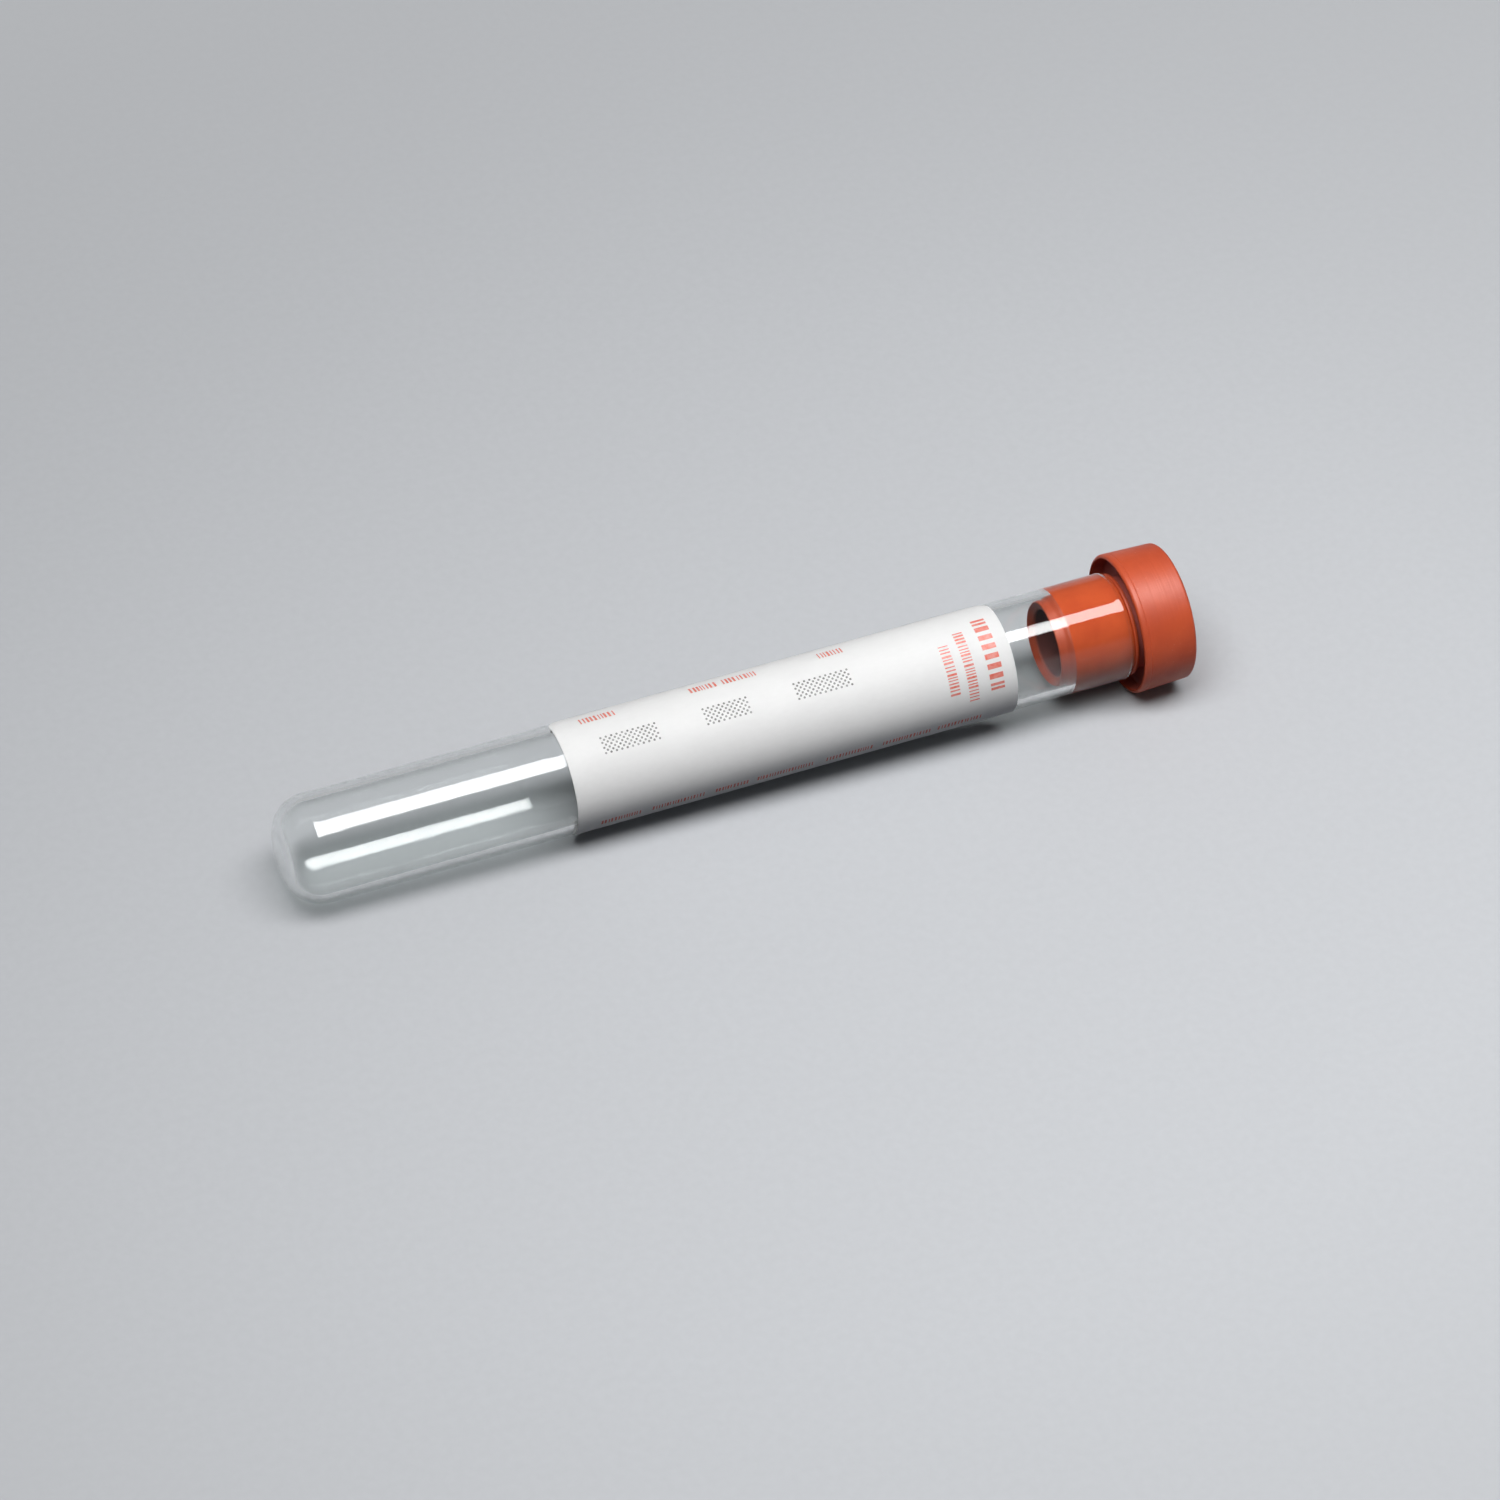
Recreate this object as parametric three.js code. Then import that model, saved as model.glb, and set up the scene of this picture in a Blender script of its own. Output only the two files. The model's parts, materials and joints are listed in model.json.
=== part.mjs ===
// An evacuated glass blood collection tube with its rubber stopper and paper label, lying on its side.
// Millimetres. The tube lies along X with its stopper at +X, and the surface it lies on is z = 0.
// Each round piece is turned from a profile of (radius, station) points, where the station is the distance
// along the tube's axis from the tip of its closed end.
import * as THREE from "three";

// Glass tube
const tubeDiameter = 12.75; // outside
const tubeLength = 102.4; // tip of the closed end to the crest of the mouth
const tubeWall = 0.95;
const endCrown = 24; // radius of the shallow cap that closes the end
const endShoulder = 4.25; // radius of the turn from the cap into the straight wall

// Stopper, plug and nose inside the glass
const plugDepth = 7.4; // how far the plug reaches into the tube
const plugClearance = 0.05; // between the plug and the bore, on the radius
const plugLead = 0.6; // length of the slope from the nose up to the plug's full width
const noseClearance = 0.325; // between the nose and the bore, on the radius
const noseLength = 1.6;
const noseRound = 0.15;
const noseLip = 0.2; // flat ring of the nose's face round the mouth of the hollow
const funnelWidth = 0.8; // how much the hollow's radius shrinks along its funnel
const funnelDepth = 0.45;
const hollowTaper = 1.1; // how much its radius shrinks from the funnel to its bottom
const hollowRound = 1.2;
const diaphragm = 4.9; // rubber left between the hollow and the well in the top face

// Stopper, head over the mouth
const headOverhang = 1.975; // how far the rim stands out from the outside of the glass
const headTaper = 0.25; // how much the head's radius shrinks from the rim to the top
const headHeight = 6.65; // rim to top face
const rimRound = 0.4;
const rimLand = 0.05; // flat left between the rim's round and the groove
const rimStandoff = 0.35; // gap along the axis between the glass mouth and the rim
const topRound = 0.45;
const grooveDepth = 1.8;
const collarSwell = 0.675; // ring of rubber just above the mouth, wider than the bore by this much
const collarRound = 0.4;
const collarStandoff = 0.1; // gap along the axis between the mouth and the collar
const collarHeight = 0.45;
const neckInset = 0.6; // how far the neck above the collar is set in from it
const wellDiameter = 8.6; // shallow well in the top face, where a needle goes in
const wellDepth = 1.3;
const wellTaper = 0.5; // how much its radius shrinks on the way down

// Label
const labelLength = 54;
const labelWidth = 23; // flat width, wrapped round the tube
const labelThickness = 0.12;
const labelCorner = 2.5;
const labelFromMouth = 14.9; // glass left bare between the label and the mouth
const labelTurn = 61; // degrees from straight up to the middle of the label, towards -Y
const labelGlue = 0.02; // gap between the paper and the glass

// Facets
const facets = 24; // round each turned piece
const arcSteps = 8; // segments in a quarter turn of a profile
const labelStep = 6; // widest facet of the label, in degrees

const tubeRadius = tubeDiameter / 2;
const boreRadius = tubeRadius - tubeWall;
const cornerReach = 1 / Math.cos(Math.PI / facets); // radius at a turned piece's corners, over that at its flats

// Points on a circle of the given centre and radius. Angles are in degrees, from the axis outwards:
// 0 points up the tube, 90 away from the axis and 180 down the tube.
function arc(centreRadius, centreStation, radius, from, to, steps = arcSteps) {
  return Array.from({ length: steps + 1 }, (_, i) => {
    const angle = THREE.MathUtils.degToRad(from + ((to - from) * i) / steps);
    return [centreRadius + radius * Math.sin(angle), centreStation + radius * Math.cos(angle)];
  });
}

// The end is a cap whose centre is on the axis, and a shoulder that is tangent to the cap and to the wall.
const shoulderCentre = tubeRadius - endShoulder;
const shoulderStation = endCrown - Math.sqrt((endCrown - endShoulder) ** 2 - shoulderCentre ** 2);
const capHalfAngle = THREE.MathUtils.radToDeg(Math.atan2(shoulderCentre, endCrown - shoulderStation));

// Outline of the end, set in from the outside by inset, from the axis to the straight wall.
function endOutline(inset) {
  const cap = arc(0, endCrown, endCrown - inset, 180, 180 - capHalfAngle, arcSteps / 2);
  const shoulder = arc(shoulderCentre, shoulderStation, endShoulder - inset, 180 - capHalfAngle, 90);
  return [...cap, ...shoulder.slice(1)];
}

function glassProfile() {
  const lip = tubeWall / 2;
  const mouth = arc(tubeRadius - lip, tubeLength - lip, lip, 90, -90);
  return [...endOutline(0), ...mouth, ...endOutline(tubeWall).reverse()];
}

const rimRadius = tubeRadius + headOverhang;
const rimStation = tubeLength + rimStandoff;

// The stopper's sizes follow from the bore and the glass mouth.
function stopperProfile() {
  const topRadius = rimRadius - headTaper;
  const top = rimStation + headHeight;
  const wellFloor = top - wellDepth;
  const grooveRadius = rimRadius - rimRound - rimLand;
  const grooveFloor = rimStation + grooveDepth;
  const collarRadius = boreRadius + collarSwell;
  const collarFoot = tubeLength + collarStandoff;
  const plugRadius = boreRadius - plugClearance;
  const step = tubeLength - plugDepth;
  const noseRadius = boreRadius - noseClearance;
  const noseFace = step - noseLength;
  const mouthRadius = noseRadius - noseLip;
  const funnelRadius = mouthRadius - funnelWidth;
  const hollowRadius = funnelRadius - hollowTaper;
  const hollowTop = wellFloor - diaphragm;

  return [
    [0, hollowTop],
    ...arc(hollowRadius - hollowRound, hollowTop - hollowRound, hollowRound, 0, 90, arcSteps / 2),
    [funnelRadius, noseFace + funnelDepth],
    [mouthRadius, noseFace],
    ...arc(noseRadius - noseRound, noseFace + noseRound, noseRound, 180, 90, arcSteps / 4),
    [noseRadius, step - plugLead],
    [plugRadius, step],
    [plugRadius, collarFoot],
    ...arc(collarRadius - collarRound, collarFoot + collarRound, collarRound, 180, 90, arcSteps / 2),
    [collarRadius, collarFoot + collarHeight],
    [collarRadius - neckInset, collarFoot + collarHeight],
    [collarRadius - neckInset, grooveFloor],
    [grooveRadius, grooveFloor],
    [grooveRadius, rimStation],
    ...arc(rimRadius - rimRound, rimStation + rimRound, rimRound, 180, 90, arcSteps / 2),
    ...arc(topRadius - topRound, top - topRound, topRound, 90, 0, arcSteps / 2),
    [wellDiameter / 2, top],
    [wellDiameter / 2 - wellTaper, wellFloor],
    [0, wellFloor],
  ];
}

// Turns a profile about the tube's axis, with the middle of a facet straight down. The profile is kept at the
// middle of each facet, so the piece measures across its flats what the round one does.
function turned(profile) {
  const points = profile.map(([radius, station]) => new THREE.Vector2(radius * cornerReach, station));
  return new THREE.LatheGeometry(points, facets, Math.PI / facets);
}

// Places of the label's columns across its width, close together where its corners are round.
function labelColumns(paperRadius) {
  const rounded = arc(0, labelCorner, labelCorner, 180, 90).map(([, place]) => place);
  const straight = labelWidth - 2 * labelCorner;
  const steps = Math.ceil(straight / (paperRadius * THREE.MathUtils.degToRad(labelStep)));
  const even = Array.from({ length: steps - 1 }, (_, i) => labelCorner + (straight * (i + 1)) / steps);
  const mirrored = rounded.map((place) => labelWidth - place).reverse();
  return [...rounded, ...even, ...mirrored];
}

// How far a rounded corner pulls in the label's short edges, at a place across its width.
function cornerInset(place) {
  const reach = Math.max(labelCorner - Math.min(place, labelWidth - place), 0);
  return labelCorner - Math.sqrt(Math.max(labelCorner ** 2 - reach ** 2, 0));
}

// A curved sheet of even thickness: one ring of four points for each column, joined to the next.
function labelGeometry() {
  const inner = tubeRadius * cornerReach + labelGlue;
  const outer = inner + labelThickness;
  const high = tubeLength - labelFromMouth;
  const low = high - labelLength;
  const vertices = [];
  for (const place of labelColumns(inner)) {
    const angle = THREE.MathUtils.degToRad(labelTurn) + (place - labelWidth / 2) / inner;
    const inset = cornerInset(place);
    const ring = [[inner, low + inset], [outer, low + inset], [outer, high - inset], [inner, high - inset]];
    for (const [radius, station] of ring)
      vertices.push(radius * Math.sin(angle), station, radius * Math.cos(angle));
  }
  const faces = [];
  for (let ring = 0; ring < vertices.length / 3 - 4; ring += 4)
    for (let side = 0; side < 4; side++) {
      const next = (side + 1) % 4;
      faces.push(ring + side, ring + 4 + side, ring + next, ring + next, ring + 4 + side, ring + 4 + next);
    }
  const end = vertices.length / 3 - 4;
  faces.push(0, 1, 2, 0, 2, 3, end, end + 2, end + 1, end, end + 3, end + 2);
  const geometry = new THREE.BufferGeometry();
  geometry.setAttribute("position", new THREE.Float32BufferAttribute(vertices, 3));
  geometry.setIndex(faces);
  geometry.computeVertexNormals();
  return geometry;
}

function piece(name, geometry, look) {
  const mesh = new THREE.Mesh(geometry, new THREE.MeshStandardMaterial(look));
  mesh.name = name;
  return mesh;
}

// The tube rests on two circles: the round of the head's rim, and the shoulder of the closed end. Its axis
// rises by the angle of the line that touches both from below.
function restTilt() {
  const along = rimStation + rimRound - shoulderStation;
  const across = rimRadius - rimRound - shoulderCentre;
  return Math.atan2(across, along) - Math.asin((endShoulder - rimRound) / Math.hypot(along, across));
}

const glass = piece("glass_tube", turned(glassProfile()), {
  color: 0xdfe9f2,
  roughness: 0.05,
  metalness: 0,
  transparent: true,
  opacity: 0.35,
});
const stopper = piece("stopper", turned(stopperProfile()), {
  color: 0xc0563c,
  roughness: 0.55,
  metalness: 0,
});
const label = piece("label", labelGeometry(), {
  color: 0xf4f2ec,
  roughness: 0.7,
  metalness: 0,
});

// The profiles are turned about +Y, so the tube is laid down along +X before its stopper end is raised.
const tube = new THREE.Group();
tube.add(glass, stopper, label);
tube.rotation.z = -Math.PI / 2;

const lying = new THREE.Group();
lying.add(tube);
lying.rotation.y = -restTilt();

// The origin is on the surface, below the middle of the tube's whole length.
const extent = new THREE.Box3().setFromObject(lying, true);
lying.position.set(-(extent.min.x + extent.max.x) / 2, 0, -extent.min.z);

const bloodTube = new THREE.Group();
bloodTube.add(lying);

export default bloodTube;
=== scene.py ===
# A glass blood collection tube with its rubber stopper and its printed label, lying on its side.
import json
import math
import random

import bpy
from mathutils import Matrix, Vector


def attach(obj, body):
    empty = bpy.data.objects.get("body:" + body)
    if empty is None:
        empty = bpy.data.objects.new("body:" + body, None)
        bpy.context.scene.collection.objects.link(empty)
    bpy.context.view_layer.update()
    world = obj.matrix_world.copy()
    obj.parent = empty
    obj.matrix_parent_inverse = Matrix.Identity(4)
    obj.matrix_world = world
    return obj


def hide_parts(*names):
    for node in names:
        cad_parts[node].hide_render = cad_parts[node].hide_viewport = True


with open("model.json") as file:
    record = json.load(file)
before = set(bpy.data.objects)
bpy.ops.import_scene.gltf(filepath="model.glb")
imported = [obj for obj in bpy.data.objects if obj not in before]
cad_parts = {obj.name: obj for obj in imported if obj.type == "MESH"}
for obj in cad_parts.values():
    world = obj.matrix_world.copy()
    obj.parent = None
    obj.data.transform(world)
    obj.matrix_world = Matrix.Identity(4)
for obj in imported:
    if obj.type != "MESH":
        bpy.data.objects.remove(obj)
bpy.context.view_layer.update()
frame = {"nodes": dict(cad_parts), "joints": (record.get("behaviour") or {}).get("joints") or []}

mm = 0.001
noiseRange = 0.3, 0.7  # nearly all of a noise's values

# The stopper's joint gives the tube's axis, and the glass gives the tip of the closed end.
# In the tube's own frame, z runs along the axis from the tip, x is up and y is towards the label.
tubeAxis = Vector(frame["joints"][0]["axis"]).normalized()
tubeUp = Vector((-tubeAxis.z, 0, tubeAxis.x))
tubeTip = min((v.co for v in frame["nodes"]["glass_tube"].data.vertices), key=tubeAxis.dot).copy()
tubeTurn = Matrix((tubeUp, tubeAxis.cross(tubeUp), tubeAxis)).transposed().to_euler()


def put(socket, value):  # a value, or a link from another node
    if isinstance(value, bpy.types.NodeSocket):
        socket.id_data.links.new(value, socket)
    else:
        socket.default_value = value


def addNode(tree, kind, inputs=None, **settings):
    made = tree.nodes.new(kind)
    for name, value in settings.items():
        setattr(made, name, value)
    for key, value in (inputs or {}).items():
        put(made.inputs[key], value)
    return made


def calc(tree, operation, first, second=0.0, third=0.0):
    inputs = {0: first, 1: second, 2: third}
    return addNode(tree, "ShaderNodeMath", inputs, operation=operation).outputs[0]


def newTree(name, inputs):
    tree = bpy.data.node_groups.new(name, "GeometryNodeTree")
    face = tree.interface
    face.new_socket("Geometry", in_out="OUTPUT", socket_type="NodeSocketGeometry")
    face.new_socket("Geometry", in_out="INPUT", socket_type="NodeSocketGeometry")
    for label, kind in inputs.items():
        face.new_socket(label, in_out="INPUT", socket_type="NodeSocket" + kind)
    given, result = tree.nodes.new("NodeGroupInput"), tree.nodes.new("NodeGroupOutput")
    return tree, given.outputs, result.inputs


def runTree(piece, tree, values):  # gives the piece the tree's result as a plain mesh
    modifier = piece.modifiers.new(tree.name, "NODES")
    modifier.node_group = tree
    for item in tree.interface.items_tree:
        if item.in_out == "INPUT" and item.name in values:
            modifier[item.identifier] = values[item.name]
    bpy.context.view_layer.update()
    graph = bpy.context.evaluated_depsgraph_get()
    result = bpy.data.meshes.new_from_object(piece.evaluated_get(graph))
    piece.modifiers.remove(modifier)
    if result.materials[0] is None:  # the slot of the points that the tree started from
        result.materials.pop(index=0)
    piece.data = result
    result.name = piece.name
    return piece


def newPiece(name, points, edges=(), faces=()):
    mesh = bpy.data.meshes.new(name)
    mesh.from_pydata(points, edges, faces)
    piece = bpy.data.objects.new(name, mesh)
    bpy.context.scene.collection.objects.link(piece)
    return piece


def newMaterial(name):
    material = bpy.data.materials.new(name)
    material.use_nodes = True
    return material, material.node_tree, material.node_tree.nodes["Principled BSDF"]


def tubeCoordinates(tree):  # the tube's own frame, in metres
    objectPlace = addNode(tree, "ShaderNodeTexCoord").outputs["Object"]
    inputs = {"Vector": objectPlace, "Location": tubeTip, "Rotation": tubeTurn}
    return addNode(tree, "ShaderNodeMapping", inputs, vector_type="TEXTURE").outputs[0]


def noise(tree, place, scale, detail, roughness=0.55, stretch=(1, 1, 1)):
    scaled = addNode(tree, "ShaderNodeVectorMath", {0: place, 1: stretch}, operation="MULTIPLY")
    return addNode(tree, "ShaderNodeTexNoise", {
        "Vector": scaled.outputs[0], "Scale": scale, "Detail": detail, "Roughness": roughness,
    }).outputs[0]


def splitAxes(tree, vector):
    return addNode(tree, "ShaderNodeSeparateXYZ", {0: vector}).outputs


def joinAxes(tree, x, y, z=0.0):
    return addNode(tree, "ShaderNodeCombineXYZ", {0: x, 1: y, 2: z}).outputs[0]


def lengthOf(tree, vector):
    return addNode(tree, "ShaderNodeVectorMath", {0: vector}, operation="LENGTH").outputs["Value"]


def shadedColour(tree, colour, shade):
    inputs = {0: colour, "Scale": shade}
    return addNode(tree, "ShaderNodeVectorMath", inputs, operation="SCALE").outputs[0]


def remap(tree, value, low, high, toLow, toHigh):
    return addNode(tree, "ShaderNodeMapRange", {
        "Value": value, "From Min": low, "From Max": high, "To Min": toLow, "To Max": toHigh,
    }).outputs[0]


def blendColours(tree, share, first, second):
    mixed = addNode(tree, "ShaderNodeMix", data_type="RGBA")
    for index, value in ((0, share), (6, first), (7, second)):
        put(mixed.inputs[index], value)
    return mixed.outputs[2]


def bump(tree, height, distance, strength, under=None):
    inputs = {"Height": height, "Distance": distance, "Strength": strength}
    if under is not None:
        inputs["Normal"] = under
    return addNode(tree, "ShaderNodeBump", inputs).outputs[0]


cameraValues = {
    "azimuth": -21.706,  # degrees, 0 looks along +Y
    "elevation": 41.547,
    "target": (0.00044, -0.00422, 0.00789),
    "distance": 0.7444,
    "lens": 157.0,
    "clip": (0.01, 20),  # metres
}


def makeCamera(values):
    turn, rise = math.radians(values["azimuth"]), math.radians(values["elevation"])
    level = math.cos(rise)
    back = Vector((math.sin(turn) * level, -math.cos(turn) * level, math.sin(rise)))
    camera = bpy.data.objects.new("camera", bpy.data.cameras.new("camera"))
    camera.data.lens = values["lens"]
    camera.data.clip_start, camera.data.clip_end = values["clip"]
    camera.location = Vector(values["target"]) + back * values["distance"]
    camera.rotation_euler = (-back).to_track_quat("-Z", "Y").to_euler()
    bpy.context.scene.collection.objects.link(camera)
    bpy.context.scene.camera = camera


makeCamera(cameraValues)
print("camera made")

# The softbox is two lamps: its light falls on dull surfaces, and its shine is what glossy ones
# mirror. The rise is the angle above the floor at which the tube sees each, on the camera's side.
studioValues = {
    "floorSize": 8.0,  # metres
    "floorColour": (0.56, 0.575, 0.60),
    "floorBounce": (0.068, 0.072, 0.084, 1),  # what dull surfaces receive back from it
    "floorMottle": (900, 2),  # noise scale and detail
    "mottleShade": (0.985, 1.015),
    "floorRoughness": 0.85,
    "floorGloss": 0.2,
    "softbox": {
        "light": {"rise": 75.0, "away": 0.64, "along": 0.215, "length": 0.98, "strength": 7.1},
        "shine": {"rise": 79.8, "away": 0.648, "along": 0.262, "length": 0.86, "strength": 12.6},
        "tilt": 38.8, "width": 0.244, "aim": 0.008,  # metres above the floor
    },
    "floorFade": (0.09, 0.25),  # metres from the tube, where the floor turns into the backdrop
    "horizon": (0.10, 0.28),  # heights between which the backdrop turns into the sky
    "backdrop": (0.50, 0.512, 0.53, 1),
    "sky": (0.110, 0.112, 0.115, 1),  # what glass and rubber mirror from above
    "fill": (0.073, 0.074, 0.075, 1),  # what falls on dull surfaces from all round
}


def seenNotLit(tree):  # 1 for what is seen, mirrored or refracted, 0 for light on dull surfaces
    path = addNode(tree, "ShaderNodeLightPath").outputs
    seen = calc(tree, "MAXIMUM", path["Is Camera Ray"], path["Is Glossy Ray"])
    return calc(tree, "MAXIMUM", seen, path["Is Transmission Ray"])


def makeFloor(values):
    half = values["floorSize"] / 2
    corners = [(-half, -half, 0), (half, -half, 0), (half, half, 0), (-half, half, 0)]
    floor = newPiece("floor", corners, faces=[(0, 1, 2, 3)])
    material, tree, shader = newMaterial("floorPaper")
    place = addNode(tree, "ShaderNodeTexCoord").outputs["Object"]
    mottle = noise(tree, place, *values["floorMottle"])
    shade = remap(tree, mottle, *noiseRange, *values["mottleShade"])
    tinted = shadedColour(tree, values["floorColour"], shade)
    seen = seenNotLit(tree)
    put(shader.inputs["Base Color"], blendColours(tree, seen, values["floorBounce"], tinted))
    put(shader.inputs["Roughness"], values["floorRoughness"])
    put(shader.inputs["Specular IOR Level"], values["floorGloss"])
    fade = remap(tree, lengthOf(tree, place), *values["floorFade"], 0, 1)
    fade = calc(tree, "MULTIPLY", fade, seen)
    backdrop = addNode(tree, "ShaderNodeEmission", {"Color": values["backdrop"]}).outputs[0]
    mix = addNode(tree, "ShaderNodeMixShader", {0: fade, 1: shader.outputs[0], 2: backdrop})
    put(tree.nodes["Material Output"].inputs["Surface"], mix.outputs[0])
    floor.data.materials.append(material)


def makeSoftbox(box):
    for share in ("light", "shine"):
        values = box[share]
        rise, tilt = math.radians(values["rise"]), math.radians(box["tilt"])
        outward = Vector((0, -math.cos(rise), math.sin(rise)))
        along = Vector((math.cos(tilt), 0, 0)) + outward * math.sin(tilt)
        facing = outward * math.cos(tilt) - Vector((math.sin(tilt), 0, 0))
        lamp = bpy.data.lights.new("softbox" + share.capitalize(), "AREA")
        lamp.shape = "RECTANGLE"
        lamp.size, lamp.size_y = values["length"], box["width"]
        lamp.energy = values["strength"] * math.pi * lamp.size * lamp.size_y
        light = bpy.data.objects.new(lamp.name, lamp)
        light.location = outward * values["away"] + Vector((values["along"], 0, box["aim"]))
        turn = Matrix((along, facing.cross(along), facing)).transposed()
        light.rotation_euler = turn.to_euler()
        light.visible_camera = False
        light.visible_diffuse = share == "light"
        light.visible_glossy = light.visible_transmission = share == "shine"
        bpy.context.scene.collection.objects.link(light)


def makeWorld(values):
    world = bpy.data.worlds.new("studio")
    world.use_nodes = True
    bpy.context.scene.world = world
    tree = world.node_tree
    direction = addNode(tree, "ShaderNodeTexCoord").outputs["Generated"]
    overhead = remap(tree, splitAxes(tree, direction)[2], *values["horizon"], 0, 1)
    shown = blendColours(tree, overhead, values["backdrop"], values["sky"])
    colour = blendColours(tree, seenNotLit(tree), values["fill"], shown)
    put(tree.nodes["Background"].inputs["Color"], colour)


makeFloor(studioValues)
makeSoftbox(studioValues["softbox"])
makeWorld(studioValues)
bpy.context.scene.view_settings.view_transform = "Standard"
print("floor and lights made")


def arc(centreRadius, centreStation, radius, start, end, steps):
    # angles in degrees: 0 points up the tube, 90 away from its axis
    points = []
    for i in range(steps + 1):
        angle = math.radians(start + (end - start) * i / steps)
        place = centreRadius + radius * math.sin(angle), centreStation + radius * math.cos(angle)
        points.append(place)
    return points


def rounded(corners, steps=6, margin=0.06, marginShare=0.2):  # (radius, station, how round)
    points = []
    for i, (radius, station, fillet) in enumerate(corners):
        here = Vector((radius, station))
        if fillet == 0:
            points.append(tuple(here))
            continue
        before, after = Vector(corners[i - 1][:2]) - here, Vector(corners[i + 1][:2]) - here
        half = before.angle(after) / 2
        # a point just outside each end of the arc keeps the shading of the flats even
        margins = [min(margin, marginShare * side.length) for side in (before, after)]
        before, after = before.normalized(), after.normalized()
        centre = here + (before + after).normalized() * fillet / math.sin(half)
        start = here + before * fillet / math.tan(half)
        end = here + after * fillet / math.tan(half)
        first, last = (start - centre).normalized(), (end - centre).normalized()
        points.append(tuple(start + before * margins[0]))
        for k in range(steps + 1):
            points.append(tuple(centre + first.slerp(last, k / steps) * fillet))
        points.append(tuple(end + after * margins[1]))
    return points


def finishTree(tree, mesh, given, result):  # soft shading, sharp edges and place
    bend = addNode(tree, "GeometryNodeInputMeshEdgeAngle").outputs[0]
    inputs = {0: bend, 1: given["Sharp angle"]}
    soft = addNode(tree, "FunctionNodeCompare", inputs, operation="LESS_THAN")
    shaded = addNode(tree, "GeometryNodeSetShadeSmooth", {"Geometry": mesh}, domain="EDGE")
    put(shaded.inputs["Shade Smooth"], soft.outputs[0])
    laid = addNode(tree, "GeometryNodeTransform", {"Geometry": shaded.outputs[0]})
    put(laid.inputs["Translation"], given["Place"])
    put(laid.inputs["Rotation"], given["Turn"])
    real = addNode(tree, "GeometryNodeRealizeInstances", {0: laid.outputs[0]})
    put(result["Geometry"], real.outputs[0])
    return tree


def inMaterial(tree, mesh, material):
    inputs = {"Geometry": mesh, "Material": material}
    return addNode(tree, "GeometryNodeSetMaterial", inputs).outputs[0]


def moved(tree, mesh, place):
    inputs = {"Geometry": mesh, "Position": place}
    return addNode(tree, "GeometryNodeSetPosition", inputs).outputs[0]


def turnedTree(weld=1e-7):  # turns the points of a profile, (radius, 0, station), round the z axis
    tree, given, result = newTree("turnedPiece", {
        "Steps round": "Int", "Sharp angle": "Float", "Place": "Vector", "Turn": "Rotation",
        "Material": "Material"})
    profile = given["Geometry"]
    count = addNode(tree, "GeometryNodeAttributeDomainSize", {0: profile}).outputs["Point Count"]
    columns = calc(tree, "ADD", given["Steps round"], 1)
    grid = addNode(tree, "GeometryNodeMeshGrid", {"Vertices X": count, "Vertices Y": columns})
    index = addNode(tree, "GeometryNodeInputIndex").outputs[0]
    point = calc(tree, "FLOOR", calc(tree, "DIVIDE", calc(tree, "ADD", index, 0.5), columns))
    step = calc(tree, "SUBTRACT", index, calc(tree, "MULTIPLY", point, columns))
    position = addNode(tree, "GeometryNodeInputPosition").outputs[0]
    sampled = addNode(tree, "GeometryNodeSampleIndex", data_type="FLOAT_VECTOR")
    for key, value in (("Geometry", profile), ("Value", position), ("Index", point)):
        put(sampled.inputs[key], value)
    radius, _, station = splitAxes(tree, sampled.outputs[0])
    angle = calc(tree, "DIVIDE", calc(tree, "MULTIPLY", step, 2 * math.pi), given["Steps round"])
    x = calc(tree, "MULTIPLY", radius, calc(tree, "COSINE", angle))
    y = calc(tree, "MULTIPLY", radius, calc(tree, "SINE", angle))
    shaped = moved(tree, grid.outputs[0], joinAxes(tree, x, y, station))
    inputs = {"Geometry": shaped, "Distance": weld}
    welded = addNode(tree, "GeometryNodeMergeByDistance", inputs).outputs[0]
    outward = addNode(tree, "GeometryNodeFlipFaces", {"Mesh": welded}).outputs[0]
    return finishTree(tree, inMaterial(tree, outward, given["Material"]), given, result)


def makeTurned(name, profile, material, values):
    points = [(radius * mm, 0, station * mm) for radius, station in profile]
    piece = newPiece(name, points, [(i, i + 1) for i in range(len(points) - 1)])
    return runTree(piece, latheTree, {
        "Steps round": values["stepsRound"], "Sharp angle": math.radians(values["sharpAngle"]),
        "Place": tubeTip, "Turn": tubeTurn, "Material": material})


latheTree = turnedTree()

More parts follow.
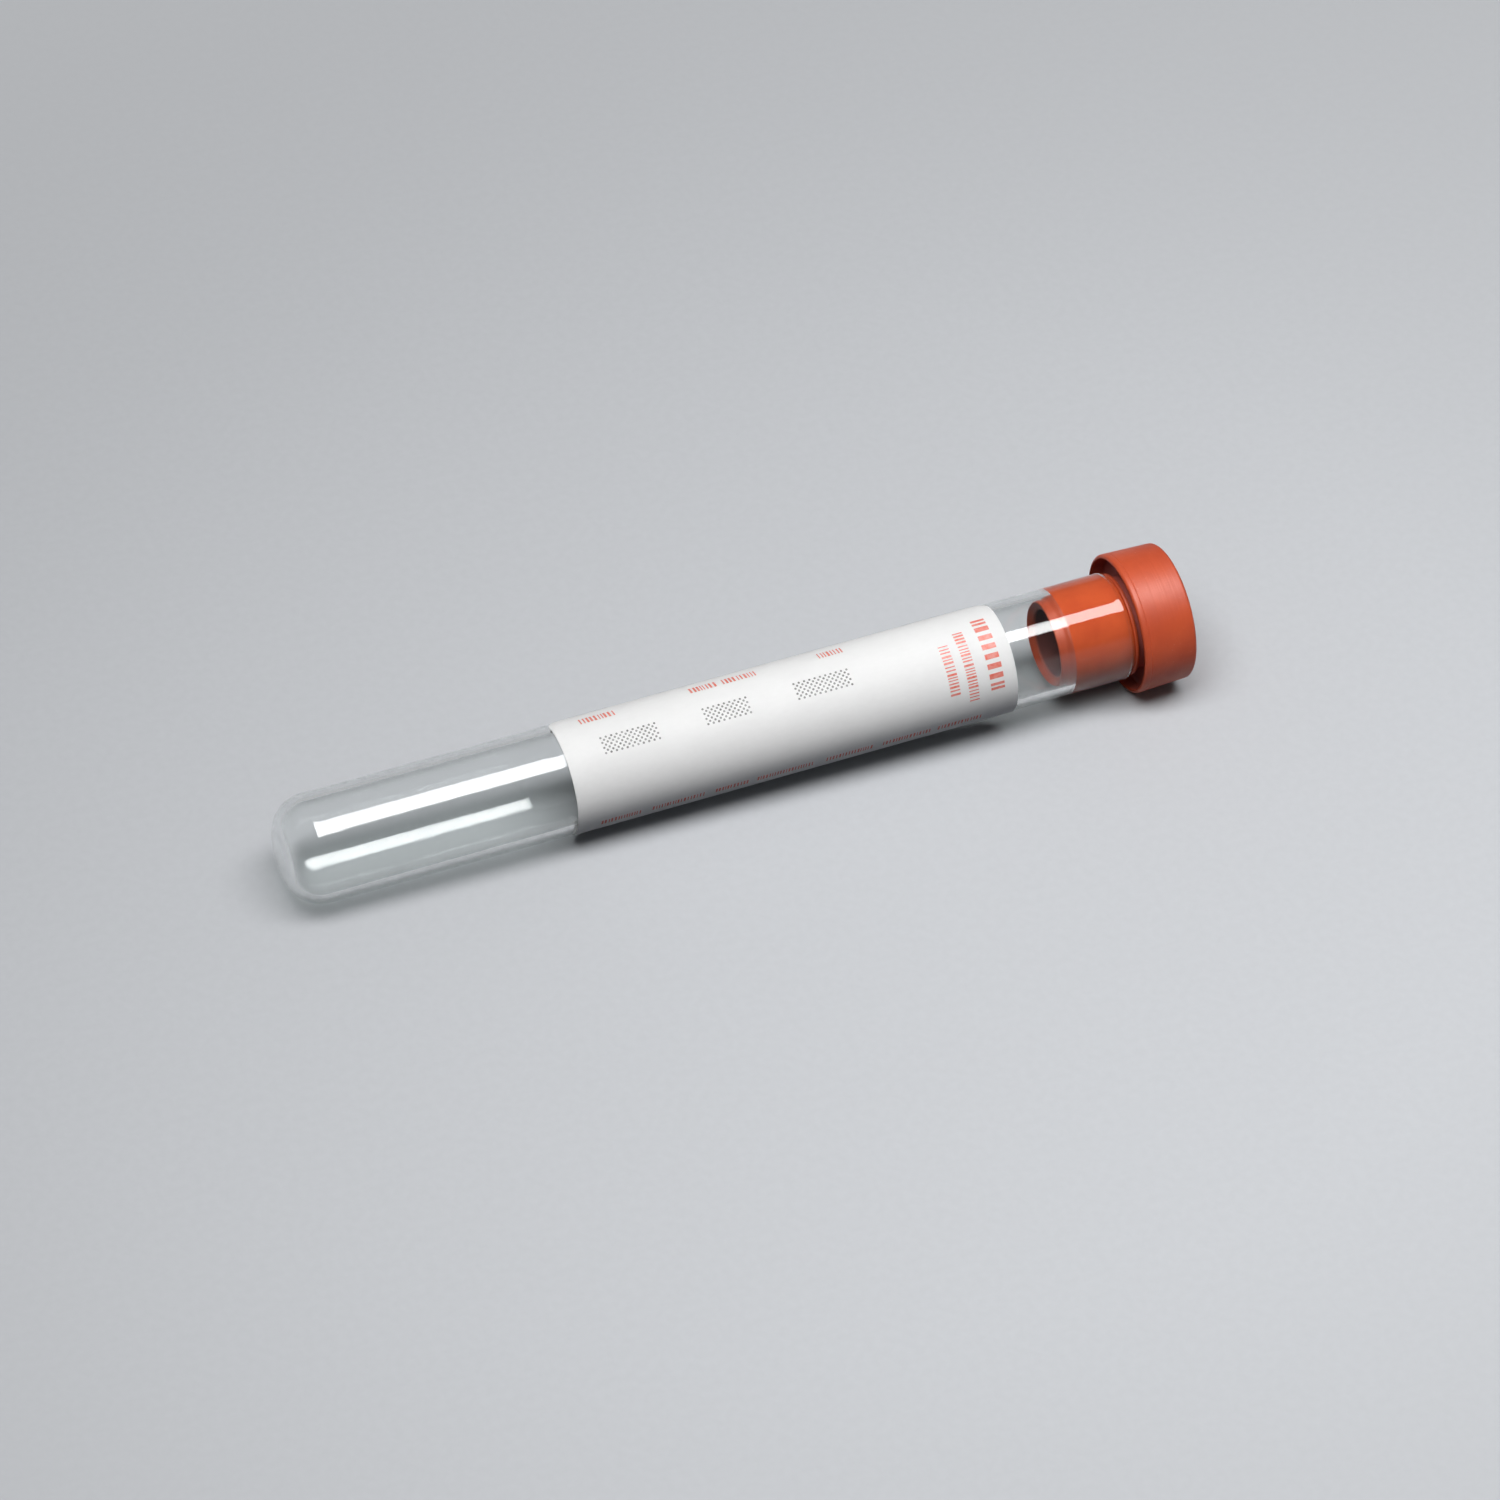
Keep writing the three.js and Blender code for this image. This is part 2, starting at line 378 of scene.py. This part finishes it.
glassValues = {
    "radius": 6.375,  # millimetres, outside
    "length": 102.4,
    "wall": 0.95,
    "crown": 24.0,  # radius of the cap that closes the end
    "shoulder": 4.25,  # radius of the turn from the cap into the wall
    "bead": 0.06,  # how far the fire-polished mouth swells
    "beadLength": 0.6,
    "wallMargin": 0.1,  # from the last rings of the wall to the shoulder and to the bead
    "endSteps": (16, 44),  # along the cap and along its shoulder
    "mouthSteps": 24,
    "beadSteps": 10,
    "wallSteps": 12,
    "stepsRound": 360,
    "sharpAngle": 60,
    "bend": 1.5,  # index of refraction
    "tint": (0.972, 0.984, 0.982, 1),
    "edgeTint": (0.72, 0.755, 0.745, 1),  # where it is seen on edge, through more of the wall
    "edge": (0.5, 0.5, 1.0),  # blend, and where the edge starts and is full
    "smudge": (130, 5, 0.6),  # noise scale, detail and roughness
    "smudgeShare": (0.52, 0.75),
    "smudgeRoughness": (0.0, 0.035),
    "ripple": (260, 3),  # noise scale and detail
    "rippleStretch": (1, 1, 0.06),
    "rippleDepth": 0.00001,  # metres
    "rippleStrength": 0.15,
    "shade": (0.96, 0.97, 0.966, 1),  # what it lets through to where its shadow falls
    "edgeShade": (0.33, 0.35, 0.35, 1),
    "shadeBlend": 0.35,
    "mostMirrorings": 2,  # a ray that is caught in the wall for longer goes straight out
}


def glassEnd(values, inset):
    crown, shoulder = values["crown"], values["shoulder"]
    capSteps, shoulderSteps = values["endSteps"]
    centre = values["radius"] - shoulder
    station = crown - math.sqrt((crown - shoulder) ** 2 - centre**2)
    half = math.degrees(math.atan2(centre, crown - station))
    cap = arc(0, crown, crown - inset, 180, 180 - half, capSteps)
    return cap + arc(centre, station, shoulder - inset, 180 - half, 90, shoulderSteps)[1:]


def glassProfile(values):
    outer, wall = values["radius"], values["wall"]
    lip = wall / 2
    mouth = arc(outer - lip, values["length"] - lip, lip, 90, -90, values["mouthSteps"])
    steps, crest = values["beadSteps"], values["mouthSteps"] // 2
    bead = [(outer, mouth[0][1] - values["beadLength"] * (1 - i / steps)) for i in range(steps)]
    low = glassEnd(values, 0)[-1][1] + values["wallMargin"]
    high = bead[0][1] - values["wallMargin"]
    bead += mouth[:crest]
    for i, (radius, station) in enumerate(bead):
        swell = values["bead"] * math.sin(math.pi * (i + 0.5) / len(bead)) ** 2
        bead[i] = radius + swell, station
    count = values["wallSteps"]
    stations = [low + (high - low) * i / count for i in range(count + 1)]
    outside = [(outer, station) for station in stations]
    inside = [(outer - wall, station) for station in reversed(stations)]
    return (glassEnd(values, 0) + outside + bead + mouth[crest:]
            + inside + glassEnd(values, wall)[::-1])


def seenOnEdge(tree, blend):
    return addNode(tree, "ShaderNodeLayerWeight", {"Blend": blend}).outputs["Facing"]


def glassMaterial(values):
    material, tree, shader = newMaterial("clearGlass")
    place = tubeCoordinates(tree)
    blend, *edgeRange = values["edge"]
    onEdge = remap(tree, seenOnEdge(tree, blend), *edgeRange, 0, 1)
    put(shader.inputs["Base Color"], blendColours(tree, onEdge, values["tint"], values["edgeTint"]))
    put(shader.inputs["Transmission Weight"], 1.0)
    put(shader.inputs["IOR"], values["bend"])
    smudge = noise(tree, place, *values["smudge"])
    roughness = remap(tree, smudge, *values["smudgeShare"], *values["smudgeRoughness"])
    put(shader.inputs["Roughness"], roughness)
    # long ripples from drawing the glass
    drawn = noise(tree, place, *values["ripple"], stretch=values["rippleStretch"])
    put(shader.inputs["Normal"], bump(tree, drawn, values["rippleDepth"], values["rippleStrength"]))
    # lamps shine straight through, less so where the glass is seen on edge
    facing = seenOnEdge(tree, values["shadeBlend"])
    passed = blendColours(tree, facing, values["shade"], values["edgeShade"])
    clear = addNode(tree, "ShaderNodeBsdfTransparent", {"Color": passed}).outputs[0]
    path = addNode(tree, "ShaderNodeLightPath").outputs
    straight = calc(tree, "MAXIMUM", path["Is Shadow Ray"], path["Is Diffuse Ray"])
    trapped = calc(tree, "GREATER_THAN", path["Glossy Depth"], values["mostMirrorings"])
    straight = calc(tree, "MAXIMUM", straight, trapped)
    mix = addNode(tree, "ShaderNodeMixShader", {0: straight, 1: shader.outputs[0], 2: clear})
    put(tree.nodes["Material Output"].inputs["Surface"], mix.outputs[0])
    return material


clearGlass = glassMaterial(glassValues)
glass = makeTurned("glassTube", glassProfile(glassValues), clearGlass, glassValues)
print("glass tube made")

stopperValues = {
    "noseFace": 93.4,  # stations from the tip of the glass, millimetres
    "plugStep": 95.0,
    "hollowTop": 103.2,
    "collarFoot": 102.5,
    "rim": 102.75,
    "grooveFloor": 104.55,
    "mouldLine": 103.55,
    "top": 109.4,
    "wellFloor": 108.1,
    "hollowRadius": 3.0,
    "funnelRadius": 4.1,
    "funnelDepth": 0.45,
    "hollowMouth": 4.9,
    "noseRadius": 5.1,
    "plugRadius": 5.445,  # squeezed against the glass
    "plugLead": (0.55, 0.05),  # how far below and above its step the slope from the nose reaches
    "collarRadius": 6.1,
    "collarDepth": 0.45,
    "neckRadius": 5.5,
    "neckSlope": 0.1,
    "grooveRadius": 7.9,
    "rimRadius": 8.35,
    "topRadius": 8.1,
    "mouldLineReach": 0.10,  # to each side
    "mouldLineDepth": 0.05,
    "wellRadius": 4.3,
    "wellTaper": 0.5,
    "dimpleRadii": (1.05, 0.9),
    "dimpleDepth": 0.12,
    "rounds": {
        "hollow": 1.2, "funnel": 0.12, "mouth": 0.08, "nose": 0.12, "leadFoot": 0.6, "leadTop": 0.9,
        "collarFoot": 0.05, "collar": 0.22, "collarTop": 0.18, "neckFoot": 0.1, "groove": 0.25,
        "grooveRim": 0.04, "rim": 0.38, "mouldLine": 0.03, "top": 0.45, "well": 0.22,
        "wellFloor": 0.3, "dimple": 0.1, "dimpleFloor": 0.08,
    },
    "stepsRound": 160,
    "sharpAngle": 35,
    "plain": {
        "colour": (0.60, 0.086, 0.025, 1), "deepColour": (0.51, 0.066, 0.020, 1),
        "gloss": 0.48, "speckShare": 0.5, "relief": 0.55,  # the grain has half that relief
    },
    "pressed": {  # pressed to the glass it looks wet, with no shine of its own, and its colours hold painted light: brighter, to make up for the lamp light that the glass holds back
        "colour": (0.74, 0.118, 0.036, 1), "deepColour": (0.64, 0.092, 0.030, 1),
        "gloss": 0.0, "speckShare": 0.1, "relief": 0.1,
    },
    "roughness": (0.42, 0.52),
    "cloud": (220, 4, 0.6),  # noise scale, detail and roughness
    "cloudEdge": (0.35, 0.7),
    "specks": (3800, 1, 0.5),
    "speckEdge": (0.74, 0.80),
    "dust": (0.70, 0.26, 0.17, 1),
    "rings": (3400, 0.5),
    "ringStretch": (0.012, 0.012, 1),
    "ringDepth": 0.000035,  # metres
    "grain": (5200, 2, 0.5),
    "grainDepth": 0.00001,
    # The hollow and the groove get painted shade: darker colours and less gloss. A range is from,
    # to and how soft its ends.
    "hollow": {
        "stations": (93.7, 103.7, 0.5), "radii": (-1, 4.5, 0.3),
        # painted shade, dark deep in the hollow
        "colour": (0.13, 0.036, 0.030, 1),
    },
    "groove": {
        "stations": (102.95, 104.95, 0.25), "radii": (5.2, 8.0, 0.15),
        # painted shade in the groove under the head's rim
        "colour": (0.45, 0.12, 0.10, 1),
    },
    # painted shade on the shine: less gloss in the hollow and the groove
    "paintedShadeGloss": 0.10,
}


def stopperProfile(v):
    headLean = (v["rimRadius"] - v["topRadius"]) / (v["top"] - v["rim"])

    def headRadius(station):
        return v["rimRadius"] - headLean * (station - v["rim"])

    rounds = v["rounds"]
    lead = [v["plugStep"] - v["plugLead"][0], v["plugStep"] + v["plugLead"][1]]
    collarTop = v["collarFoot"] + v["collarDepth"]
    line, reach = v["mouldLine"], v["mouldLineReach"]
    dimpleFloor = v["wellFloor"] - v["dimpleDepth"]
    return rounded([
        (0, v["hollowTop"], 0),
        (v["hollowRadius"], v["hollowTop"], rounds["hollow"]),
        (v["funnelRadius"], v["noseFace"] + v["funnelDepth"], rounds["funnel"]),
        (v["hollowMouth"], v["noseFace"], rounds["mouth"]),
        (v["noseRadius"], v["noseFace"], rounds["nose"]),
        (v["noseRadius"], lead[0], rounds["leadFoot"]),
        (v["plugRadius"], lead[1], rounds["leadTop"]),
        (v["plugRadius"], v["collarFoot"], rounds["collarFoot"]),
        (v["collarRadius"], v["collarFoot"], rounds["collar"]),
        (v["collarRadius"], collarTop, rounds["collarTop"]),
        (v["neckRadius"], collarTop + v["neckSlope"], rounds["neckFoot"]),
        (v["neckRadius"], v["grooveFloor"], rounds["groove"]),
        (v["grooveRadius"], v["grooveFloor"], rounds["groove"]),
        (v["grooveRadius"], v["rim"], rounds["grooveRim"]),
        (v["rimRadius"], v["rim"], rounds["rim"]),
        (headRadius(line - reach), line - reach, rounds["mouldLine"]),
        (headRadius(line) - v["mouldLineDepth"], line, rounds["mouldLine"]),
        (headRadius(line + reach), line + reach, rounds["mouldLine"]),
        (v["topRadius"], v["top"], rounds["top"]),
        (v["wellRadius"], v["top"], rounds["well"]),
        (v["wellRadius"] - v["wellTaper"], v["wellFloor"], rounds["wellFloor"]),
        (v["dimpleRadii"][0], v["wellFloor"], rounds["dimple"]),
        (v["dimpleRadii"][1], dimpleFloor, rounds["dimpleFloor"]),
        (0, dimpleFloor, 0),
    ])


def between(tree, value, low, high, soft):  # 1 from low to high, in millimetres, and 0 outside
    up = remap(tree, value, low * mm, (low + soft) * mm, 0, 1)
    down = remap(tree, value, (high - soft) * mm, high * mm, 1, 0)
    return calc(tree, "MULTIPLY", up, down)


def rubberMaterial(name, values, look):
    material, tree, shader = newMaterial(name)
    place = tubeCoordinates(tree)
    cloud = noise(tree, place, *values["cloud"])
    deepShare = remap(tree, cloud, *values["cloudEdge"], 0, 1)
    body = blendColours(tree, deepShare, look["colour"], look["deepColour"])
    specks = noise(tree, place, *values["specks"])
    specks = remap(tree, specks, *values["speckEdge"], 0, look["speckShare"])
    body = blendColours(tree, specks, body, values["dust"])

    x, y, station = splitAxes(tree, place)
    radius = lengthOf(tree, joinAxes(tree, x, y))
    # painted shade: the hollow and the groove get their darker colours here
    inside = 0
    for part in (values["hollow"], values["groove"]):
        along = between(tree, station, *part["stations"])
        across = between(tree, radius, *part["radii"])
        share = calc(tree, "MULTIPLY", along, across)
        body = blendColours(tree, share, body, part["colour"])
        inside = calc(tree, "MAXIMUM", inside, share)
    put(shader.inputs["Base Color"], body)

    gloss = look["gloss"]
    # painted shade on the shine: the gloss drops in the hollow and the groove
    if gloss > 0:
        gloss = remap(tree, inside, 0, 1, gloss, values["paintedShadeGloss"])
    put(shader.inputs["Specular IOR Level"], gloss)
    put(shader.inputs["Roughness"], remap(tree, cloud, *noiseRange, *values["roughness"]))
    rings = noise(tree, place, *values["rings"], stretch=values["ringStretch"])  # left by the mould
    ringed = bump(tree, rings, values["ringDepth"], look["relief"])
    grain = noise(tree, place, *values["grain"])
    grained = bump(tree, grain, values["grainDepth"], look["relief"] / 2, ringed)
    put(shader.inputs["Normal"], grained)
    return material


def pressToGlass(piece, values, slack=0.01):  # the band of the plug that meets the bore
    # painted light: this band gets the brighter pressed colours, for the lamp light that the glass
    # holds back
    piece.data.materials.append(rubberMaterial("pressedRubberPaintedLight", values, values["pressed"]))
    intoTube = tubeTurn.to_matrix().inverted()
    for face in piece.data.polygons:
        x, y, station = (intoTube @ (face.center - tubeTip)) / mm
        onPlug = values["plugStep"] < station < values["collarFoot"]
        if onPlug and math.hypot(x, y) > values["plugRadius"] - slack:
            face.material_index = 1


rubber = rubberMaterial("mouldedRubber", stopperValues, stopperValues["plain"])
stopper = makeTurned("rubberStopper", stopperProfile(stopperValues), rubber, stopperValues)
pressToGlass(stopper, stopperValues)
print("stopper made")

labelValues = {
    "start": 33.5,  # station of its lower short edge, millimetres
    "length": 54.0,
    "width": 23.0,  # flat, wrapped round the tube
    "corner": 2.5,
    "thickness": 0.12,
    "radius": 6.485,  # to its outside: the glue fills what is left over the glass
    "middle": 61.0,  # degrees from straight up to its middle
    "inkHeight": 0.006,
    "sheetSteps": (28, 181, 2),  # rows of points along its length, its width and its thickness
    "barSteps": 6,
    "dotSides": 10,
    "sharpAngle": 40,
    "paper": (0.90, 0.90, 0.895, 1),
    "red": (0.74, 0.095, 0.040, 1),
    "redWear": 0.25,  # how far the ink fades to the paper where it is worn
    "grey": (0.028, 0.022, 0.024, 1),
    "greyWear": 0.3,
    "wear": (1900, 3, 0.6),  # noise scale, detail and roughness
    "wearEdge": (0.35, 0.75),
    "inkRoughness": (0.42, 0.55),
    "fibre": (2400, 4, 0.6),
    "fibreStretch": (1, 1, 0.5),
    "fibreShade": (0.975, 1.0),
    "fibreDepth": 0.000012,  # metres
    "fibreStrength": 0.5,
    "soil": (110, 3),  # noise scale and detail
    "soilShade": 0.012,
    "paperRoughness": (0.55, 0.65),
    "paperGloss": 0.2,
    "soakShare": 0.35,  # share of the light that soaks into the paper
    "soakDepth": 0.0004,  # metres
    # The print is simple marks. A place is a station, degrees from straight up and a length.
    "seed": 11,
    "captions": ((36.9, -20.5, 4.3), (50.3, -21.5, 3.1), (54.3, -21.5, 3.9), (66.0, -20.0, 3.0)),
    "tick": 0.17,  # width of an upright tick
    "captionHeight": 1.2,
    "codes": ((38.15, 15.8, 6.5), (50.55, 15.3, 5.2), (61.65, 15.4, 6.5)),
    "codeHeight": 1.95,
    "dot": 0.28,
    "dotPitch": 0.325,
    "title": (84.2, -1.5, 8),  # its last value is how many blocks; it runs round the tube
    "titlePitch": 1.17,
    "titleBlock": (0.9, 1.7),  # width and height
    "smallLines": ((81.5, 8.8, 1.4), (81.5, 24.5, 6.9), (79.25, 19.5, 6.2)),  # round the tube too
    "smallHeight": 1.2,
    "footers": (
        (36.4, 4.9), (42.6, 6.4), (50.3, 3.8), (55.4, 7.0), (63.9, 5.6), (70.9, 5.8), (77.7, 5.4)),
    "footerAngle": 109.5,
    "footerHeight": 0.85,
    "footerTick": 0.15,
}


def blockOf(tree, size, steps):  # a box with rows of points along each of its sides
    inputs = {"Size": size, "Vertices X": steps[0], "Vertices Y": steps[1], "Vertices Z": steps[2]}
    return addNode(tree, "GeometryNodeMeshCube", inputs).outputs[0]


def labelSheet(tree, given, steps):  # flat, with round corners, x along the tube and y round it
    straight = calc(tree, "SUBTRACT", calc(tree, "MULTIPLY", given["Width"], 0.5), given["Corner"])
    reach = calc(tree, "ADD", straight, calc(tree, "MULTIPLY", given["Corner"], math.pi / 2))
    size = joinAxes(tree, given["Length"], calc(tree, "MULTIPLY", reach, 2), given["Thickness"])
    x, y, z = splitAxes(tree, addNode(tree, "GeometryNodeInputPosition").outputs[0])
    side = calc(tree, "ABSOLUTE", y)
    beyond = calc(tree, "MAXIMUM", calc(tree, "SUBTRACT", side, straight), 0)
    turn = calc(tree, "DIVIDE", beyond, given["Corner"])
    inner = calc(tree, "MINIMUM", side, straight)
    outwards = calc(tree, "MULTIPLY_ADD", calc(tree, "SINE", turn), given["Corner"], inner)
    drop = calc(tree, "SUBTRACT", 1, calc(tree, "COSINE", turn))
    inset = calc(tree, "MULTIPLY", drop, given["Corner"])
    lost = calc(tree, "DIVIDE", calc(tree, "MULTIPLY", inset, 2), given["Length"])
    place = joinAxes(
        tree,
        calc(tree, "MULTIPLY", x, calc(tree, "SUBTRACT", 1, lost)),
        calc(tree, "MULTIPLY", outwards, calc(tree, "SIGN", y)),
        calc(tree, "SUBTRACT", z, calc(tree, "MULTIPLY", given["Thickness"], 0.5)))
    return inMaterial(tree, moved(tree, blockOf(tree, size, steps), place), given["Paper"])


def pointValue(tree, name, kind):  # what each point holds under this name
    inputs = {"Name": name}
    return addNode(tree, "GeometryNodeInputNamedAttribute", inputs, data_type=kind).outputs[0]


def labelMarks(tree, given, barSteps, dotSides):  # a bar or a dot on each point, of its own size
    size, isDot = pointValue(tree, "size", "FLOAT_VECTOR"), pointValue(tree, "dot", "BOOLEAN")
    bar = blockOf(tree, (1, 1, 1), (2, barSteps, 2))
    inputs = {"Vertices": dotSides, "Radius": 0.5, "Depth": 1.0}
    dot = addNode(tree, "GeometryNodeMeshCylinder", inputs).outputs[0]
    inked = []
    isBar = calc(tree, "SUBTRACT", 1, isDot)
    for shape, chosen, ink in ((bar, isBar, "Red ink"), (dot, isDot, "Grey ink")):
        marks = addNode(tree, "GeometryNodeInstanceOnPoints", {
            "Points": given["Geometry"], "Selection": chosen, "Instance": shape, "Scale": size})
        real = addNode(tree, "GeometryNodeRealizeInstances", {0: marks.outputs[0]}).outputs[0]
        inked.append(inMaterial(tree, real, given[ink]))
    return inked


def wrapRound(tree, given, flat):
    x, y, z = splitAxes(tree, addNode(tree, "GeometryNodeInputPosition").outputs[0])
    angle = calc(tree, "ADD", calc(tree, "DIVIDE", y, given["Radius"]), given["Middle"])
    radius = calc(tree, "ADD", given["Radius"], z)
    middle = calc(tree, "MULTIPLY_ADD", given["Length"], 0.5, given["Start"])
    place = joinAxes(
        tree,
        calc(tree, "MULTIPLY", radius, calc(tree, "COSINE", angle)),
        calc(tree, "MULTIPLY", radius, calc(tree, "SINE", angle)),
        calc(tree, "ADD", x, middle))
    wrapped = moved(tree, flat, place)
    return addNode(tree, "GeometryNodeFlipFaces", {"Mesh": wrapped}).outputs[0]


def labelTree(values):
    tree, given, result = newTree("printedLabel", {
        "Length": "Float", "Width": "Float", "Corner": "Float", "Thickness": "Float",
        "Radius": "Float", "Middle": "Float", "Start": "Float", "Sharp angle": "Float",
        "Place": "Vector", "Turn": "Rotation",
        "Paper": "Material", "Red ink": "Material", "Grey ink": "Material"})
    sheet = labelSheet(tree, given, values["sheetSteps"])
    marks = labelMarks(tree, given, values["barSteps"], values["dotSides"])
    joined = addNode(tree, "GeometryNodeJoinGeometry")
    for part in reversed([sheet] + marks):
        tree.links.new(part, joined.inputs[0])
    return finishTree(tree, wrapRound(tree, given, joined.outputs[0]), given, result)


# A mark is the place of its middle, (along the row, up from it), then its width and its height.
def tickRow(chance, length, height, stroke, widths=(0.8, 1, 1.5), gaps=(0.9, 1.8)):
    ticks, place = [], 0
    while place < length:
        wide = stroke * chance.choice(widths)
        ticks.append((place + wide / 2, height / 2, wide, height))
        place += wide + stroke * chance.uniform(*gaps)
    return ticks


def barBlocks(chance, count, pitch, width, height):
    oneBroad, twoNarrow = ((0.4, 0.7),), ((0.2, 0.35), (0.8, 0.35))  # places and widths
    bars = []
    for i in range(count):
        for place, share in chance.choice((oneBroad, twoNarrow)):
            bars.append((i * pitch + width * place, height / 2, width * share, height))
    return bars


def dotField(length, height, pitch, dot):  # rows of dots, every other one left out
    columns, rows = round(length / pitch) + 1, round(height / pitch) + 1
    return [(column * pitch, row * pitch, dot, dot)
            for column in range(columns) for row in range(rows) if (column + row) % 2 == 0]


def printLayout(values):  # marks from the middle of the sheet, and whether each is a dot
    chance = random.Random(values["seed"])
    perDegree = math.radians(1) * values["radius"]
    middle = values["start"] + values["length"] / 2
    layout = []

    def lay(station, angle, marks, roundTube=False, isDot=False):
        x, y = station - middle, (angle - values["middle"]) * perDegree
        for along, up, width, height in marks:
            if roundTube:
                along, up, width, height = up, along, height, width
            layout.append((x + along, y + up, width, height, isDot))

    for station, angle, length in values["captions"]:
        lay(station, angle, tickRow(chance, length, values["captionHeight"], values["tick"]))
    for station, angle, length in values["codes"]:
        field = dotField(length, values["codeHeight"], values["dotPitch"], values["dot"])
        lay(station, angle, field, isDot=True)
    station, angle, count = values["title"]
    blocks = barBlocks(chance, count, values["titlePitch"], *values["titleBlock"])
    lay(station, angle, blocks, roundTube=True)
    for station, angle, length in values["smallLines"]:
        row = tickRow(chance, length, values["smallHeight"], values["tick"])
        lay(station, angle, row, roundTube=True)
    for station, length in values["footers"]:
        row = tickRow(chance, length, values["footerHeight"], values["footerTick"])
        lay(station, values["footerAngle"], row)
    return layout


def paperMaterial(values):
    material, tree, shader = newMaterial("labelPaper")
    place = tubeCoordinates(tree)
    fibre = noise(tree, place, *values["fibre"], stretch=values["fibreStretch"])
    soil = noise(tree, place, *values["soil"])
    soiled = remap(tree, soil, *noiseRange, -values["soilShade"], values["soilShade"])
    shade = calc(tree, "ADD", remap(tree, fibre, *noiseRange, *values["fibreShade"]), soiled)
    put(shader.inputs["Base Color"], shadedColour(tree, values["paper"][:3], shade))
    put(shader.inputs["Roughness"], remap(tree, soil, *noiseRange, *values["paperRoughness"]))
    put(shader.inputs["Specular IOR Level"], values["paperGloss"])
    put(shader.inputs["Normal"], bump(tree, fibre, values["fibreDepth"], values["fibreStrength"]))
    put(shader.inputs["Subsurface Weight"], values["soakShare"])
    put(shader.inputs["Subsurface Radius"], (1, 1, 1))
    put(shader.inputs["Subsurface Scale"], values["soakDepth"])
    return material


def inkMaterial(name, colour, wear, values):
    material, tree, shader = newMaterial(name)
    worn = noise(tree, tubeCoordinates(tree), *values["wear"])
    share = remap(tree, worn, *values["wearEdge"], wear, 0)
    put(shader.inputs["Base Color"], blendColours(tree, share, colour, values["paper"]))
    put(shader.inputs["Roughness"], remap(tree, worn, *noiseRange, *values["inkRoughness"]))
    return material


def makeLabel(values):
    marks = printLayout(values)
    inkMiddle = values["inkHeight"] * mm / 2
    piece = newPiece("printedLabel", [(x * mm, y * mm, inkMiddle) for x, y, *_ in marks])
    sizes = piece.data.attributes.new("size", "FLOAT_VECTOR", "POINT")
    dots = piece.data.attributes.new("dot", "BOOLEAN", "POINT")
    for i, (_, _, width, height, isDot) in enumerate(marks):
        sizes.data[i].vector = (width * mm, height * mm, values["inkHeight"] * mm)
        dots.data[i].value = isDot
    sizesOfSheet = {name.capitalize(): values[name] * mm for name in (
        "length", "width", "corner", "thickness", "radius", "start")}
    return runTree(piece, labelTree(values), {
        **sizesOfSheet,
        "Middle": math.radians(values["middle"]), "Sharp angle": math.radians(values["sharpAngle"]),
        "Place": tubeTip, "Turn": tubeTurn,
        "Paper": paperMaterial(values),
        "Red ink": inkMaterial("redInk", values["red"], values["redWear"], values),
        "Grey ink": inkMaterial("greyInk", values["grey"], values["greyWear"], values)})


label = makeLabel(labelValues)
print("label made")

for piece, body, node, slot in (
    (glass, "tube", "glass_tube", "glass"),
    (stopper, "stopper", "stopper", "rubber"),
    (label, "tube", "label", "paper"),
):
    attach(piece, body)
    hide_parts(node)
    print(piece.name, len(piece.data.polygons), "faces")

print("done")
